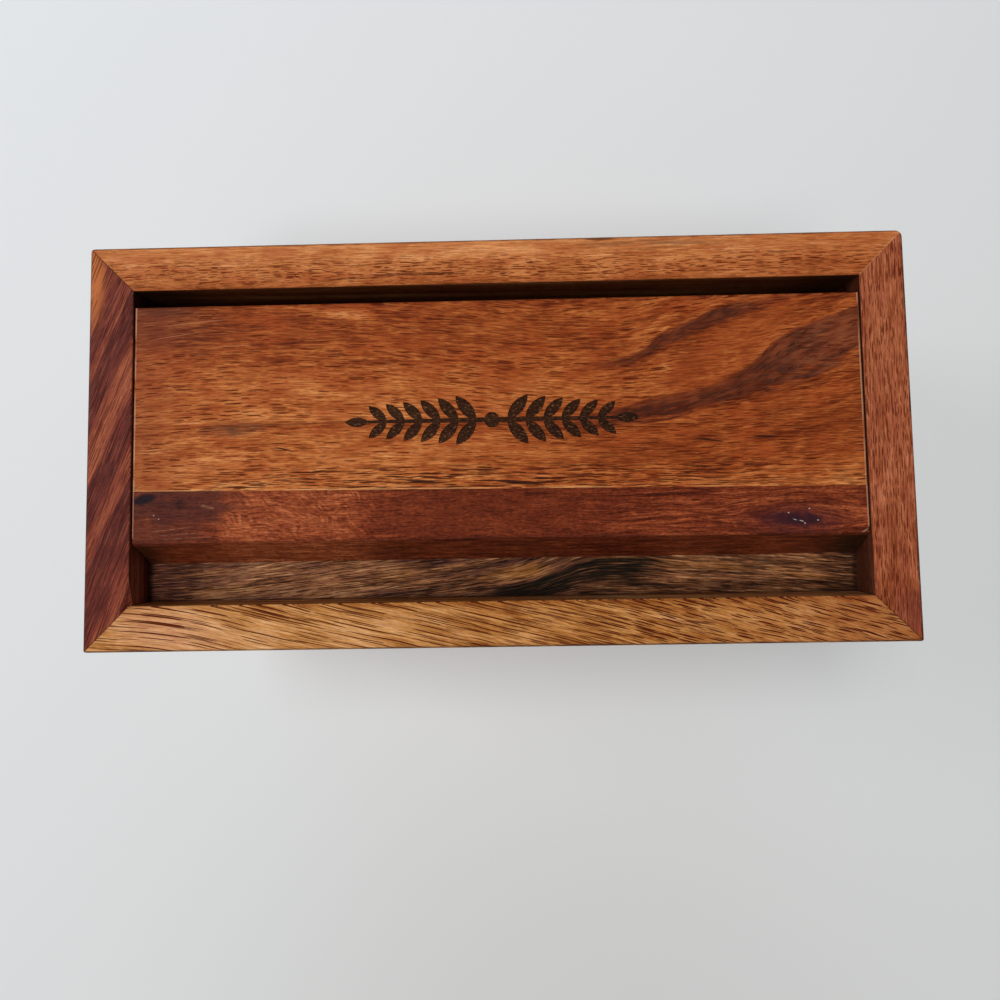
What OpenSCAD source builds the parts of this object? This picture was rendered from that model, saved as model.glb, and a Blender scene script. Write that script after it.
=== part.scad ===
// Card box of mitred hardwood boards, with a pin-hinged lid set down inside the rim.
// Millimetres. The origin is on the table under the middle of the box, +Z is up,
// +X is to the right and the groove that holds a card upright runs along the front, at -Y.

/* [Body] */
// Outside width, left to right
body_w = 180; // [165:1:240]
// Outside depth, front to back
body_d = 89; // [84:1:140]
// Outside height, table to rim
body_h = 130; // [120:1:180]
// Thickness of the four walls
wall_t = 9.8; // [8.8:0.2:12]
// Radius sanded on the outside edges of the rim and of the bottom
edge_r = 0.6; // [0.3:0.1:2]
// Radius sanded on the inside edge of the rim
rim_arris_r = 0.3; // [0.2:0.1:0.6]
// Radius sanded on the upright corner at the front left
corner_front_left_r = 0.9; // [0.5:0.1:4]
// Radius sanded on the upright corner at the front right
corner_front_right_r = 0.8; // [0.5:0.1:4]
// Radius sanded on the upright corner at the back right
corner_back_right_r = 2; // [0.5:0.1:4]
// Radius sanded on the upright corner at the back left
corner_back_left_r = 1.2; // [0.5:0.1:4]
// Length of the corner pared off the left wall's inside edge, at the front
pared_len = 6; // [3:0.5:10]
// Width of the corner pared off, on top
pared_w = 1.6; // [0.8:0.1:3]
// Depth of the corner pared off
pared_depth = 2.5; // [1:0.5:6]

/* [Wall boards] */
// Height of the lowest board of the front wall
front_low = 41; // [30:1:48]
// Height of the middle board of the front wall
front_mid = 45; // [30:1:48]
// Height of the lowest board of the right wall
right_low = 37; // [30:1:48]
// Height of the middle board of the right wall
right_mid = 47; // [30:1:48]
// Height of the lowest board of the back wall
back_low = 46; // [30:1:48]
// Height of the middle board of the back wall
back_mid = 43; // [30:1:48]
// Height of the lowest board of the left wall
left_low = 34; // [30:1:48]
// Height of the middle board of the left wall
left_mid = 48; // [30:1:50]

/* [Bottom panel] */
// Thickness of the bottom panel
bottom_t = 5; // [4:0.5:6]
// Height of the panel's underside above the table
bottom_lift = 4; // [3:0.5:6]
// Depth of the groove that the panel's edge stands in
housing_depth = 4; // [3:0.2:5]
// Width of the front board of the panel, inside the box
bottom_front_w = 31; // [20:1:40]

/* [Lid] */
// Thickness of the lid
lid_t = 11; // [9:0.5:14]
// Depth of the lid's top below the rim
lid_drop = 0.5; // [0.3:0.1:1.5]
// Clearance of the lid's back edge from the back wall at its closest, as it turns
swing_clear = 1.2; // [0.6:0.1:3]
// Gap between each end of the lid and the side wall
side_gap = 0.3; // [0.2:0.1:0.8]
// Radius on the lid's back edges
lid_back_r = 0.8; // [0.4:0.1:1.5]
// Width of the flat sanded on the lid's top edges
lid_ease = 0.3; // [0.1:0.1:0.6]
// Width of the front strip at its left end, on top
strip_left = 11.3; // [8:0.1:14]
// Width of the front strip at its right end, on top
strip_right = 9.9; // [8:0.1:14]

/* [Burnt sprig] */
// Length of the sprig of leaves burnt into the lid
sprig_len = 64.4; // [44:0.2:90]
// Position of the sprig's middle, left to right
sprig_x = -0.8; // [-10:0.1:10]
// Position of the sprig's middle, front to back
sprig_y = 4.4; // [0:0.1:10]
// Pairs of leaves on each half of the sprig
leaf_pairs = 6; // [3:1:8]
// Length of the leaves nearest the middle
leaf_len = 7; // [4:0.1:9]
// Width of the leaves nearest the middle
leaf_w = 2.7; // [1:0.1:4]
// Width of the stem in the middle
stem_w = 1.2; // [0.5:0.1:2]
// Radius of the berry in the middle
berry_r = 1.7; // [1:0.1:3]
// Depth burnt away
burn_depth = 0.3; // [0.1:0.05:0.6]

/* [Card groove] */
// Width of the groove's floor, front to back
groove_w = 8.6; // [6:0.1:14]
// How far the lid's front edge leans out from top to bottom
bevel_run = 4.9; // [2:0.1:6]
// Thickness of the ledge that is the groove's floor
ledge_t = 7; // [5:0.5:10]
// How far the ledge reaches under the lid
ledge_seat = 6; // [4:0.5:10]
// Gap between the closed lid and the ledge
seat_gap = 0.1; // [0.05:0.05:0.3]

/* [Hinge pins] */
// Diameter of the pins
pin_d = 3; // [2.5:0.5:4]
// Length of pin inside the side wall
pin_in_wall = 6; // [4:0.5:7]
// Length of pin inside the lid
pin_in_lid = 12; // [8:1:20]
// Distance from the lid's back edge to the pins' axis
pivot_inset = 5; // [4:0.1:6]
// Radial clearance of a pin in the wall, where it turns
run_clear = 0.05; // [0.02:0.01:0.1]
// Radial clearance of a pin in the lid, filled with glue
glue_clear = 0.02; // [0.01:0.01:0.04]
// Depth of each drilled hole beyond the end of its pin
hole_relief = 0.5; // [0.3:0.1:1]
// Gap between the panel's edge and the bottom of its groove
panel_float = 0.5; // [0.3:0.1:1]
// Gap between the panel's top and its groove
panel_clear = 0.15; // [0.1:0.05:0.3]

/* [Hidden] */
$fn = 64;
cut = 1; // how far a cutter runs past what it cuts

inner_w = body_w - 2 * wall_t;
inner_d = body_d - 2 * wall_t;
front_face_y = -inner_d / 2; // inside face of the front wall
back_face_y = inner_d / 2; // inside face of the back wall

lid_top_z = body_h - lid_drop;
lid_bottom_z = lid_top_z - lid_t;
lid_len = inner_w - 2 * side_gap;
// The gap behind the lid lets its back corners, square or not, turn past the wall.
swing_gap = sqrt(pow(pivot_inset, 2) + pow(lid_t / 2, 2)) - pivot_inset + swing_clear;
lid_back_y = back_face_y - swing_gap;
lid_toe_y = front_face_y + groove_w; // front edge, underneath
lid_nose_y = lid_toe_y + bevel_run; // front edge, on top

ledge_top_z = lid_bottom_z - seat_gap;
ledge_w = groove_w + ledge_seat;

pivot_y = lid_back_y - pivot_inset;
pivot_z = lid_bottom_z + lid_t / 2;

bottom_len = inner_w + 2 * (housing_depth - panel_float);
bottom_back_edge = inner_d / 2 + housing_depth - panel_float;
bottom_joint_y = front_face_y + bottom_front_w;

// What is taken off a square corner at the origin to round it, in 2D.
module corner_waste(r) {
    difference() {
        translate([-cut, -cut]) square(r + cut);
        translate([r, r]) circle(r);
    }
}

// Section of a wall board from its outside face, at x = 0, to its inside face.
module wall_section(low, high) {
    intersection() {
        difference() {
            square([wall_t, body_h]);
            corner_waste(edge_r);
            translate([0, body_h]) rotate(270) corner_waste(edge_r);
            translate([wall_t, body_h]) rotate(180) corner_waste(rim_arris_r);
        }
        translate([-cut, low]) square([wall_t + 2 * cut, high - low]);
    }
}

// Plan of a wall: mitred ends, with the box's corners rounded at both tips. The two
// radii in corners are those of the tips at -X and at +X.
module wall_plan(length, corners) {
    difference() {
        polygon([
            [-length / 2, 0],
            [length / 2, 0],
            [length / 2 - wall_t, wall_t],
            [wall_t - length / 2, wall_t]
        ]);
        translate([-length / 2, 0]) corner_waste(corners[0]);
        translate([length / 2, 0]) rotate(90) corner_waste(corners[1]);
    }
}

// A board with mitred ends, lying along X with its outside face on y = 0.
module mitred_board(length, corners, low, high) {
    intersection() {
        rotate([90, 0, 90]) linear_extrude(length, center = true) wall_section(low, high);
        translate([0, 0, -cut]) linear_extrude(body_h + 2 * cut) wall_plan(length, corners);
    }
}

// The groove round the inside of the walls that holds the bottom panel.
module panel_housing() {
    size_x = inner_w + 2 * housing_depth;
    size_y = inner_d + 2 * housing_depth;
    translate([-size_x / 2, -size_y / 2, bottom_lift])
        cube([size_x, size_y, bottom_t + panel_clear]);
}

// The two holes in the side walls in which the hinge pins turn.
module pin_holes_in_walls() {
    depth = pin_in_wall + hole_relief;
    for (side = [-1, 1])
        translate([side * (inner_w / 2 + (depth - cut) / 2), pivot_y, pivot_z])
            rotate([0, 90, 0])
                cylinder(r = pin_d / 2 + run_clear, h = depth + cut, center = true);
}

// One board of a wall, from height low to height high. The wall faces the way angle says.
module wall_board(angle, length, offset, corners, low, high) {
    difference() {
        rotate(angle) translate([0, -offset, 0]) mitred_board(length, corners, low, high);
        panel_housing();
        pin_holes_in_walls();
    }
}

// What the maker's knife took off the left wall's inside edge beside the card groove.
module pared_corner() {
    toward_x = 1 / pared_w;
    toward_y = -1 / pared_len;
    toward_z = 1 / pared_depth;
    heading = atan2(toward_y, toward_x);
    tilt = atan2(norm([toward_x, toward_y]), toward_z);
    translate([-inner_w / 2, front_face_y + pared_len, body_h])
        rotate([0, tilt, heading])
            translate([0, 0, wall_t / 2]) cube([4 * wall_t, 4 * wall_t, wall_t], center = true);
}

module front_board(low, high)
    wall_board(0, body_w, body_d / 2, [corner_front_left_r, corner_front_right_r], low, high);
module right_board(low, high)
    wall_board(90, body_d, body_w / 2, [corner_front_right_r, corner_back_right_r], low, high);
module back_board(low, high)
    wall_board(180, body_w, body_d / 2, [corner_back_right_r, corner_back_left_r], low, high);
module left_board(low, high)
    wall_board(270, body_d, body_w / 2, [corner_back_left_r, corner_front_left_r], low, high);

module front_wall_top_board() { color("#b07a45") front_board(front_low + front_mid, body_h); }
module front_wall_middle_board() { color("#8a4326") front_board(front_low, front_low + front_mid); }
module front_wall_bottom_board() { color("#a5622f") front_board(0, front_low); }

module right_wall_top_board() { color("#92482a") right_board(right_low + right_mid, body_h); }
module right_wall_middle_board() { color("#b2703a") right_board(right_low, right_low + right_mid); }
module right_wall_bottom_board() { color("#7a3a24") right_board(0, right_low); }

module back_wall_top_board() { color("#a9622f") back_board(back_low + back_mid, body_h); }
module back_wall_middle_board() { color("#7d3d25") back_board(back_low, back_low + back_mid); }
module back_wall_bottom_board() { color("#9c5a30") back_board(0, back_low); }

module left_wall_top_board() {
    color("#6b3426")
        difference() {
            left_board(left_low + left_mid, body_h);
            pared_corner();
        }
}
module left_wall_middle_board() { color("#9b5229") left_board(left_low, left_low + left_mid); }
module left_wall_bottom_board() { color("#84452a") left_board(0, left_low); }

// One board of the bottom panel, between two positions front to back.
module bottom_board(y_front, y_back) {
    translate([-bottom_len / 2, y_front, bottom_lift])
        cube([bottom_len, y_back - y_front, bottom_t]);
}

module bottom_panel_front_board() { color("#a8703f") bottom_board(-bottom_back_edge, bottom_joint_y); }
module bottom_panel_back_board() { color("#93552f") bottom_board(bottom_joint_y, bottom_back_edge); }

// The ledge glued between the walls: floor of the card groove and stop for the lid.
module groove_ledge() {
    color("#5c4632")
        translate([-inner_w / 2, front_face_y, ledge_top_z - ledge_t])
            cube([inner_w, ledge_w, ledge_t]);
}

// Section of the lid across its width: y runs to the back, z up from its underside.
module lid_section() {
    lean = bevel_run / lid_t; // how far the front edge runs out for each unit down
    difference() {
        polygon([
            [lid_toe_y, 0],
            [lid_back_y, 0],
            [lid_back_y, lid_t],
            [lid_nose_y + lid_ease, lid_t],
            [lid_nose_y - lid_ease * lean, lid_t - lid_ease]
        ]);
        translate([lid_back_y, 0]) rotate(90) corner_waste(lid_back_r);
        translate([lid_back_y, lid_t]) rotate(180) corner_waste(lid_back_r);
    }
}

// The narrow flats sanded on the top edges at both ends of the lid.
module lid_end_waste() {
    side = lid_ease * sqrt(2);
    for (x = [-lid_len / 2, lid_len / 2])
        translate([x, 0, lid_top_z])
            rotate([0, 45, 0]) cube([side, body_d, side], center = true);
}

// The holes drilled into the ends of the lid for the hinge pins.
module pin_holes_in_lid() {
    depth = pin_in_lid + hole_relief;
    for (side = [-1, 1])
        translate([side * (lid_len / 2 - (depth - cut) / 2), pivot_y, pivot_z])
            rotate([0, 90, 0])
                cylinder(r = pin_d / 2 + glue_clear, h = depth + cut, center = true);
}

// A leaf in 2D, from its foot at the origin to its tip on +X.
module leaf(length, width) {
    r = (pow(length, 2) + pow(width, 2)) / (4 * width);
    translate([length / 2, 0])
        intersection() {
            translate([0, r - width / 2]) circle(r);
            translate([0, width / 2 - r]) circle(r);
        }
}

// Half of the sprig in 2D, from its middle out along +X. The leaves get smaller and
// lean further out towards the tip.
module half_sprig() {
    tip_len = leaf_len * 0.75;
    tip_x = sprig_len / 2 - tip_len;
    first_x = 2 * berry_r;
    pitch = (tip_x - first_x) / leaf_pairs;
    for (i = [0 : leaf_pairs - 1]) {
        size = 1 - 0.28 * i / leaf_pairs;
        lean = 50 - 10 * i / leaf_pairs;
        for (turn = [-lean, lean])
            translate([first_x + i * pitch, 0])
                rotate(turn) leaf(leaf_len * size, leaf_w * size);
    }
    translate([tip_x, 0]) leaf(tip_len, leaf_w * 0.8);
    polygon([
        [0, -stem_w / 2],
        [tip_x + tip_len / 2, -stem_w / 4],
        [tip_x + tip_len / 2, stem_w / 4],
        [0, stem_w / 2]
    ]);
}

// The sprig burnt into the lid's top: a berry between two halves.
module burnt_sprig() {
    translate([sprig_x, sprig_y, lid_top_z - burn_depth])
        linear_extrude(burn_depth + cut) {
            circle(berry_r);
            half_sprig();
            mirror([1, 0]) half_sprig();
        }
}

// The whole lid before it is divided into its two boards.
module lid_form() {
    difference() {
        translate([0, 0, lid_bottom_z])
            rotate([90, 0, 90]) linear_extrude(lid_len, center = true) lid_section();
        lid_end_waste();
    }
}

// Everything behind the slanting glue joint, or in front of it when ahead is true.
module joint_side(ahead) {
    end_x = lid_len / 2 + cut;
    slope = (strip_right - strip_left) / lid_len;
    mid_y = lid_nose_y + (strip_left + strip_right) / 2;
    far_y = ahead ? -body_d : body_d;
    translate([0, 0, lid_bottom_z - cut])
        linear_extrude(lid_t + 2 * cut)
            polygon([
                [-end_x, mid_y - slope * end_x],
                [end_x, mid_y + slope * end_x],
                [end_x, far_y],
                [-end_x, far_y]
            ]);
}

module lid_main_board() {
    color("#a75628")
        difference() {
            intersection() {
                lid_form();
                joint_side(false);
            }
            pin_holes_in_lid();
            burnt_sprig();
        }
}

module lid_front_strip() {
    color("#7b3521")
        intersection() {
            lid_form();
            joint_side(true);
        }
}

// A hinge pin, glued into the end of the lid and free to turn in the wall.
module lid_pin(side) {
    length = pin_in_wall + side_gap + pin_in_lid;
    middle_x = inner_w / 2 + pin_in_wall - length / 2;
    color("#b9bcc0")
        translate([side * middle_x, pivot_y, pivot_z])
            rotate([0, 90, 0]) cylinder(d = pin_d, h = length, center = true);
}

module lid_pin_left() { lid_pin(-1); }
module lid_pin_right() { lid_pin(1); }

front_wall_top_board();
front_wall_middle_board();
front_wall_bottom_board();
right_wall_top_board();
right_wall_middle_board();
right_wall_bottom_board();
back_wall_top_board();
back_wall_middle_board();
back_wall_bottom_board();
left_wall_top_board();
left_wall_middle_board();
left_wall_bottom_board();
bottom_panel_front_board();
bottom_panel_back_board();
groove_ledge();
lid_main_board();
lid_front_strip();
lid_pin_left();
lid_pin_right();
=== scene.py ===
from math import cos, radians, sin

import bpy
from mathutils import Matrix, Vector


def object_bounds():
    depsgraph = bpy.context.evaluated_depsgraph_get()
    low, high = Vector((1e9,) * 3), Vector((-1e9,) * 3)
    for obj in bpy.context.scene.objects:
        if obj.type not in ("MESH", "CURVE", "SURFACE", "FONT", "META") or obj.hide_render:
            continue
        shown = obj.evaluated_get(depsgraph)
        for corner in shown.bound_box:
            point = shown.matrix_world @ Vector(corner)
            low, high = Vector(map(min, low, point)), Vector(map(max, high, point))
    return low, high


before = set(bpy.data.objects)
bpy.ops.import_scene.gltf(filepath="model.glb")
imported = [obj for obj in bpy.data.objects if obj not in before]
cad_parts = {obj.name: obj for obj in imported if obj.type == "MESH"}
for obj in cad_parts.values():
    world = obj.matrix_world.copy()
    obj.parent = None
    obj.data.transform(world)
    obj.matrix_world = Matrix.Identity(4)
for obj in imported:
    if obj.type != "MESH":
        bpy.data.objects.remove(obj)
cad_box = [list(corner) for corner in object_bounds()]

MM = 0.001


def reach(piece):
    """The least and the greatest corner of a CAD piece, in millimetres."""
    places = [vertex.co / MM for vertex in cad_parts[piece].data.vertices]
    return [[round(end(place[axis] for place in places), 2) for axis in range(3)] for end in (min, max)]


lid_corner = reach("lid_main_board")[1]
ledge_corners = reach("groove_ledge")

# Sizes in millimetres, as the box stands: X to the right, Y to the back, Z up. HALF is half the
# outside and INNER half the inside. The lid's and the groove floor's faces are heights from the rim.
HALF_W, HALF_D, RIM_Z = (round(edge / MM, 2) for edge in cad_box[1])
INNER_W = ledge_corners[1][0]
INNER_D = -ledge_corners[0][1]
LID_END = lid_corner[0]
LID_TOP_Z = lid_corner[2]
LID_FACE = LID_TOP_Z - RIM_Z
FLOOR_FACE = ledge_corners[1][2] - RIM_Z

# The burnt sprig: its middle, and half the length and half the width of the field round it.
SPRIG_X = -0.8
SPRIG_Y = 4.4
SPRIG_HALF_W = 33.0
SPRIG_HALF_D = 6.0

# The lid's glue joint: its place halfway along, and how far it slants to the front in a millimetre.
JOINT_Y = -10.62
JOINT_SLANT = 0.0086

# The knot at the right end of the lid's front strip.
KNOT_X = 64.5
KNOT_Y = -18.3

# The camera, fitted to the rim in the photograph: its place, its height above the rim, and its
# turns in degrees.
CAMERA_X = 6.2
CAMERA_Y = -15.8
CAMERA_RISE = 217.0
CAMERA_TURNS = (5.22, 1.47, -0.99)


def linear(colour):
    """An RGBA colour for a shader socket, from the usual six-figure notation."""
    parts = [int(colour[i:i + 2], 16) / 255 for i in (1, 3, 5)]
    return tuple(p / 12.92 if p < 0.04045 else ((p + 0.055) / 1.055) ** 2.4 for p in parts) + (1.0,)


def pick(sockets, key):
    """A node's socket by number, or else by its identifier or name."""
    if isinstance(key, int):
        return sockets[key]
    for socket in sockets:
        if socket.identifier == key:
            return socket
    return sockets[key]


def add_node(tree, kind, settings=None, inputs=None, output=0):
    """Adds a node and returns one of its outputs. Settings come first: sockets may depend on them."""
    made = tree.nodes.new(kind)
    for name, value in (settings or {}).items():
        setattr(made, name, value)
    for key, value in (inputs or {}).items():
        socket = pick(made.inputs, key)
        if isinstance(value, Wire):
            tree.links.new(value.socket, socket)
        else:
            socket.default_value = value
    return Wire(tree, pick(made.outputs, output))


class Wire:
    """One output in a node tree. Arithmetic on it adds the nodes that work it out."""

    def __init__(self, tree, socket):
        self.tree = tree
        self.socket = socket

    def maths(self, operation, *operands):
        return add_node(self.tree, "ShaderNodeMath", {"operation": operation}, dict(enumerate(operands)))

    def __add__(self, other):
        return self.maths("ADD", self, other)

    __radd__ = __add__

    def __sub__(self, other):
        return self.maths("SUBTRACT", self, other)

    def __rsub__(self, other):
        return self.maths("SUBTRACT", other, self)

    def __mul__(self, other):
        return self.maths("MULTIPLY", self, other)

    __rmul__ = __mul__

    def __truediv__(self, other):
        return self.maths("DIVIDE", self, other)

    def __rtruediv__(self, other):
        return self.maths("DIVIDE", other, self)

    def __abs__(self):
        return self.maths("ABSOLUTE", self)

    def __pow__(self, power):
        return self.maths("POWER", self, power)

    def least(self, other):
        return self.maths("MINIMUM", self, other)

    def most(self, other):
        return self.maths("MAXIMUM", self, other)

    def over(self, limit):
        """1 above a limit and 0 below it."""
        return self.maths("GREATER_THAN", self, limit)

    def part(self, low, high):
        """0 at low and 1 at high, level beyond them, with a straight line between."""
        return add_node(self.tree, "ShaderNodeMapRange", {"clamp": True},
                        {"Value": self, "From Min": low, "From Max": high})

    def step(self, low, high):
        """0 at low and 1 at high, with a smooth rise between. Low may be the greater."""
        return add_node(self.tree, "ShaderNodeMapRange", {"interpolation_type": "SMOOTHSTEP"},
                        {"Value": self, "From Min": low, "From Max": high})

    def band(self, low, high, soft):
        """1 from low to high and 0 outside them, with soft edges."""
        return self.step(low - soft, low + soft) * self.step(high + soft, high - soft)

    def ramp(self, *stops):
        """A colour read off stops of (place, colour)."""
        made = add_node(self.tree, "ShaderNodeValToRGB", {}, {"Fac": self})
        row = made.socket.node.color_ramp.elements
        while len(row) < len(stops):
            row.new(0.5)
        for element, (place, colour) in zip(row, stops):
            element.position = place
            element.color = linear(colour)
        return made

    def curve(self, *points):
        """Another number, read off a smooth curve through points of (this number, that number).
        The curve is level before its first point and after its last."""
        left, right = points[0][0], points[-1][0]
        low = min(y for x, y in points)
        span = max(max(y for x, y in points) - low, 0.001)
        made = add_node(self.tree, "ShaderNodeFloatCurve", {}, {"Value": self.part(left, right)})
        mapping = made.socket.node.mapping
        row = mapping.curves[0].points
        places = [((x - left) / (right - left), (y - low) / span) for x, y in points]
        row[0].location = places[0]
        row[1].location = places[-1]
        for place in places[1:-1]:
            row.new(*place)
        for point in row:
            point.handle_type = "AUTO_CLAMPED"
        mapping.update()
        return made * span + low

    def mixed(self, factor, colour):
        """This colour, with another laid over it by a factor."""
        if isinstance(colour, str):
            colour = linear(colour)
        return add_node(self.tree, "ShaderNodeMix", {"data_type": "RGBA", "blend_type": "MIX"},
                        {"Factor_Float": factor, "A_Color": self, "B_Color": colour}, "Result_Color")


def vector(tree, x, y, z):
    """One vector from three numbers or wires."""
    return add_node(tree, "ShaderNodeCombineXYZ", {}, {"X": x, "Y": y, "Z": z})


def shift(seed):
    """How far a pattern is shifted for its seed, so that no two patterns are alike."""
    return (seed * 7.31, seed * 3.77, seed * 5.13)


class Board:
    """The material of one board, or of the pins. Along and across are places in millimetres with
    the grain and across it on the upper face, and deep is the height from the rim, which is below
    0 in the box. Level tells the lines of the grain apart. Top is the height of the upper face
    from the rim, and face is 1 on that face. The seed of a pattern shifts it."""

    def __init__(self, name, along="x", lean=0.0, seed=1.0, top=0.0):
        self.material = bpy.data.materials.new(name)
        self.material.use_nodes = True
        self.tree = self.material.node_tree
        self.shader = self.tree.nodes["Principled BSDF"]
        self.seed = seed
        self.top = top
        place = add_node(self.tree, "ShaderNodeTexCoord", {}, {}, "Object")
        place = add_node(self.tree, "ShaderNodeVectorMath", {"operation": "SCALE"},
                         {0: place, "Scale": 1 / MM})
        split = add_node(self.tree, "ShaderNodeSeparateXYZ", {}, {0: place}).socket.node
        self.x, self.y, self.z = (Wire(self.tree, socket) for socket in split.outputs)
        self.along, self.across = (self.x, self.y) if along == "x" else (self.y, self.x)
        self.deep = self.z - RIM_Z
        arris = 0.4
        self.face = self.deep.over(top - arris)
        self.level = self.across - lean * self.along

    def noise(self, size, seed, detail=1.0, roughness=0.5, across=None):
        """Noise from 0 to 1 in lumps of the given length, width and depth. Detail is the number of
        finer layers in it and roughness is their strength. It lies along the grain, or along other
        lines where across tells those apart."""
        place = vector(self.tree, self.along, across or self.level, self.deep)
        scaled = add_node(self.tree, "ShaderNodeVectorMath", {"operation": "MULTIPLY_ADD"},
                          {0: place, 1: [1 / s for s in size], 2: shift(self.seed + seed)})
        return add_node(self.tree, "ShaderNodeTexNoise", {"noise_dimensions": "3D"},
                        {"Vector": scaled, "Scale": 1.0, "Detail": detail, "Roughness": roughness}, "Fac")

    def pits(self, length, width, seed, share=1.0, lean=0.0, across=None, slim=0.36, thin=2.0):
        """1 on slender pores along the grain and 0 between them, at most one in each length by width.
        With a share of 1 they run from none to the full size, with less some places have none and
        with more they are more alike. Slim is their size in their place and thin is how much
        narrower they are than that."""
        across = (across or self.across) - lean * self.along + self.deep
        place = add_node(self.tree, "ShaderNodeVectorMath", {"operation": "MULTIPLY_ADD"},
                         {0: vector(self.tree, self.along, across, 0.0), 1: (1 / length, 1 / width, 0.0),
                          2: shift(self.seed + seed)[:2] + (0.0,)})
        near = add_node(self.tree, "ShaderNodeTexVoronoi", {"voronoi_dimensions": "2D"},
                        {"Vector": place, "Scale": 1.0}, "Position")
        chance = Wire(self.tree, near.socket.node.outputs["Color"])
        chance = add_node(self.tree, "ShaderNodeSeparateColor", {}, {0: chance})
        away = add_node(self.tree, "ShaderNodeVectorMath", {"operation": "SUBTRACT"}, {0: place, 1: near})
        away = add_node(self.tree, "ShaderNodeVectorMath", {"operation": "MULTIPLY"},
                        {0: away, 1: (1.0, thin, 0.0)})
        away = add_node(self.tree, "ShaderNodeVectorMath", {"operation": "LENGTH"}, {0: away}, "Value")
        return ((chance + (share - 1.0)) * slim - away).step(0.0, 0.09)

    def crowds(self, seed, low=0.35, high=0.6):
        """0 where pores are few and 1 where they crowd together."""
        return self.noise((9, 2.5, 4), seed, across=self.across).step(low, high)

    def wander(self, amount):
        """Lets the lines of the grain stray sideways a little, as a trunk does."""
        stray = self.noise((60, 25, 25), 11) - 0.5
        self.level = self.level + stray * (amount * 4)

    def follow(self, lines):
        """Bends the grain to flow lines on the upper face, given as (its level on a straight board,
        points). They slant off to the front below that face."""
        flows = [self.along.curve(*points) for level, points in lines]
        place = self.across + (self.deep - self.top) * 0.35
        bent = lines[0][0]
        for (low, _), (high, _), under, over in zip(lines, lines[1:], flows, flows[1:]):
            bent = ((place - under) / (over - under)).part(0.0, 1.0) * (high - low) + bent
        self.level = bent

    def rings(self, pith, dip):
        """Distance from a pith line, which is the level of growth rings."""
        side = self.across - pith[0]
        down = self.deep - pith[1] - dip * self.along
        return (side * side + down * down) ** 0.5

    def ring_bands(self):
        """Light and dark bands along the rings, round 0."""
        return (self.noise((90, 4.0, 200), 6, 2.0, 0.6) - 0.5) * 1.5

    def below(self, base, pith, dip):
        """Leaves the upper face as the photograph has it and gives the faces below it growth rings.
        Returns the tone."""
        rings = self.rings(pith, dip)
        self.level = rings + (self.level - rings) * self.face
        bands = self.ring_bands() + 0.44
        return bands + (base - bands) * self.face

    def oval(self, centre, radii, turn=0.0):
        """Distance from a spot's centre, where 1 is the oval round it."""
        c, s = cos(radians(turn)), sin(radians(turn))
        x, y = self.x - centre[0], self.y - centre[1]
        a = (x * c + y * s) / radii[0]
        b = (y * c - x * s) / radii[1]
        return (a * a + b * b) ** 0.5

    def patch(self, centre, radii, turn=0.0, rim=1.2, core=0.3):
        """1 in an oval's core and 0 outside its rim, which are shares of its radii."""
        return self.oval(centre, radii, turn).step(rim, core)

    def spots(self, *spots):
        """1 on small spots of the upper face, given as (x, y, half length, half width, turn)."""
        nearest = None
        for x, y, long, wide, turn in spots:
            spot = self.oval((x, y), (long, wide), turn)
            nearest = nearest.least(spot) if nearest else spot
        return nearest.step(1.1, 0.5) * self.face

    def mitre(self, width=0.16):
        """1 on the mitred corner joints."""
        return abs(abs(self.y) - abs(self.x) + (HALF_W - HALF_D)).step(width * 1.5, width * 0.7)

    def shade_outer_arris(self, colour):
        """The colour, with painted shade along the rim's outer arris, uneven along it."""
        out = (abs(self.x) - HALF_W).most(abs(self.y) - HALF_D)
        edge = out.step(-0.55, -0.2) * self.deep.step(-1.4, -0.7)
        uneven = self.noise((9, 4, 4), 40, across=self.across).step(0.3, 0.6) * 0.4 + 0.35
        return colour.mixed(edge * uneven, "#2c150e")

    def surface(self, colour, rough, height):
        """Joins a colour, a roughness and a height in millimetres to the shader."""
        bump = add_node(self.tree, "ShaderNodeBump", {}, {"Strength": 1.0, "Distance": MM, "Height": height},
                        "Normal")
        for name, wire in (("Base Color", colour), ("Roughness", rough), ("Normal", bump)):
            self.tree.links.new(wire.socket, self.shader.inputs[name])
        return self.material

    def finish(self, colour, pores, fibres):
        """Oiled wood, with a dull sheen and its pores sunk in it."""
        self.shader.inputs["Specular IOR Level"].default_value = 0.32
        rough = pores * 0.2 + 0.41 + fibres * 0.08
        return self.surface(colour, rough, fibres * 0.012 - pores * 0.08)


def tones(b, base, patchy=0.6, veined=0.4, hairy=0.24, size=(11, 3.2), fine=1.0, drawn=1.0, fibres=None):
    """Tone of the wood, 0 light and 1 dark, round a base tone, and the finest fibres. Size is that
    of the patches, fine that of the veins and fibres, drawn is how much longer these are than
    usual, and fibres is the level that the finest ones follow."""
    patches = b.noise((size[0], size[1], size[1]), 1, 2.0, 0.55) - 0.5
    veins = b.noise((13 * fine * drawn, 0.7 * fine, 1.5 * fine), 2, 2.0, 0.6) - 0.5
    hairs = b.noise((4.5 * fine * drawn, 0.3 * fine, 0.4 * fine), 3, 1.0, 0.6, fibres).step(0.3, 0.7)
    grit = b.noise((1.3, 0.3, 0.4), 48, 1.0, 0.6, fibres) - 0.5
    return base + patches * patchy + veins * veined + (hairs - 0.5) * hairy + grit * 0.26, hairs


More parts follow.
